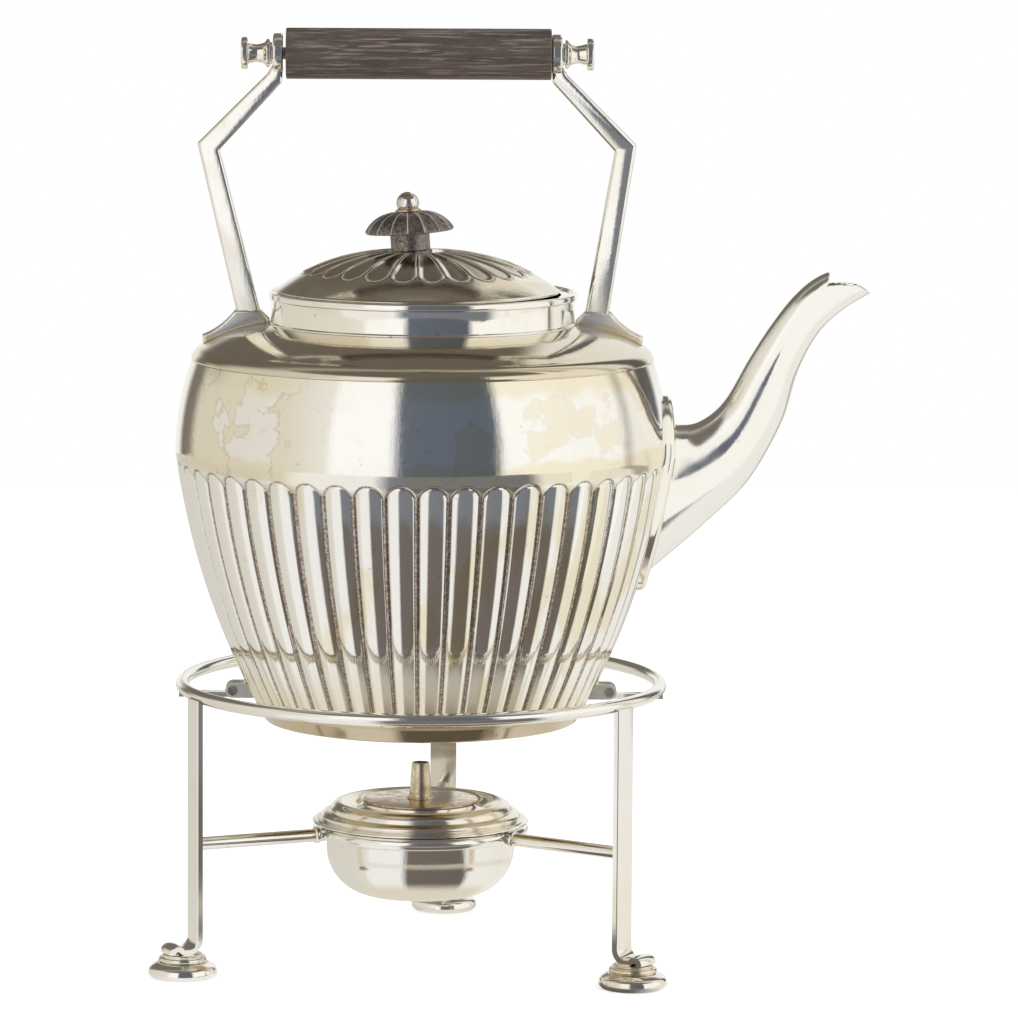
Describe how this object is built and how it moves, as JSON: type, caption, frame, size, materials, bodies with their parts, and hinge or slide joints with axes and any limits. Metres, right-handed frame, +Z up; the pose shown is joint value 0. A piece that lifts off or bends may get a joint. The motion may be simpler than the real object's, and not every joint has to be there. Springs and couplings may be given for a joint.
{
  "type": "spirit kettle on stand",
  "caption": "Silver-plated spirit kettle with lobed body, wooden bail grip and lift-off lid, on a three-legged stand with a spirit burner.",
  "frame": {"origin": "on the floor under the three feet, in the middle of the whole object's box; the kettle's upright axis stands 35.5 mm to -X and 9.1 mm to -Y of it", "axes": "+Z up along the kettle's axis, +X towards the spout, -Y is the front face in the picture"},
  "size_m": [0.2881, 0.2166, 0.3766],
  "materials": {
    "silver_plate": "worn polished silver plate with yellow-brown tarnish",
    "grip_wood": "dark polished wood with fine pale streaks",
    "gilt_brass": "polished, a little tarnished",
    "bare_steel": "dull worn steel",
    "wick_cotton": "woven cotton, charred at its tip"
  },
  "bodies": {
    "stand": {"stand_ring": "silver_plate", "leg_left": "silver_plate", "leg_right": "silver_plate", "leg_back": "silver_plate", "foot_left": "silver_plate", "foot_right": "silver_plate", "foot_back": "silver_plate", "foot_washer_left": "silver_plate", "foot_washer_right": "silver_plate", "foot_washer_back": "silver_plate", "burner_arm_left": "silver_plate", "burner_arm_right": "silver_plate", "burner_arm_back": "silver_plate", "burner_ring": "silver_plate", "hinge_bracket": "silver_plate", "rest_bracket": "silver_plate"},
    "pivot_pin": {"pivot_pin": "bare_steel"},
    "kettle": {"kettle_body": "silver_plate", "kettle_shoulder": "silver_plate", "kettle_collar": "silver_plate", "kettle_base": "silver_plate", "spout": "silver_plate", "spout_plate": "silver_plate", "handle_left": "silver_plate", "handle_right": "silver_plate", "grip_rod": "bare_steel", "hinge_lug": "silver_plate", "rest_lug": "silver_plate", "rest_pin": "bare_steel"},
    "grip": {"grip": "grip_wood"},
    "finial_left": {"finial_left": "silver_plate"},
    "finial_right": {"finial_right": "silver_plate"},
    "lid": {"lid_dome": "silver_plate", "lid_bezel": "silver_plate", "knob_stem": "silver_plate", "knob_cap": "silver_plate", "knob_washer": "gilt_brass", "knob_ball": "silver_plate"},
    "burner": {"burner_bowl": "silver_plate", "burner_cover": "silver_plate"},
    "wick_holder": {"wick_plate": "silver_plate", "wick_tube": "gilt_brass", "wick": "wick_cotton"}
  },
  "joints": [
    {"name": "kettle_lift", "type": "slide", "parent": "stand", "child": "pivot_pin", "axis": [0, 0, 1], "range_m": [0, 0.08]},
    {"name": "kettle_tilt", "type": "hinge", "parent": "pivot_pin", "child": "kettle", "pos_m": [0.0405, -0.0091, 0.1097], "axis": [0, 1, 0], "range_deg": [0, 40]},
    {"name": "grip_turn", "type": "hinge", "parent": "kettle", "child": "grip", "pos_m": [-0.0381, -0.0091, 0.3664], "axis": [1, 0, 0], "continuous": true},
    {"name": "finial_left_turn", "type": "hinge", "parent": "kettle", "child": "finial_left", "pos_m": [-0.1015, -0.0091, 0.3664], "axis": [1, 0, 0], "continuous": true},
    {"name": "finial_right_turn", "type": "hinge", "parent": "kettle", "child": "finial_right", "pos_m": [0.0255, -0.0091, 0.3664], "axis": [1, 0, 0], "continuous": true},
    {"name": "lid_lift", "type": "slide", "parent": "kettle", "child": "lid", "axis": [0, 0, 1], "range_m": [0, 0.044]},
    {"name": "burner_lift", "type": "slide", "parent": "stand", "child": "burner", "axis": [0, 0, 1], "range_m": [0, 0.015]},
    {"name": "wick_holder_lift", "type": "slide", "parent": "burner", "child": "wick_holder", "axis": [0, 0, 1], "range_m": [0, 0.015]}
  ]
}
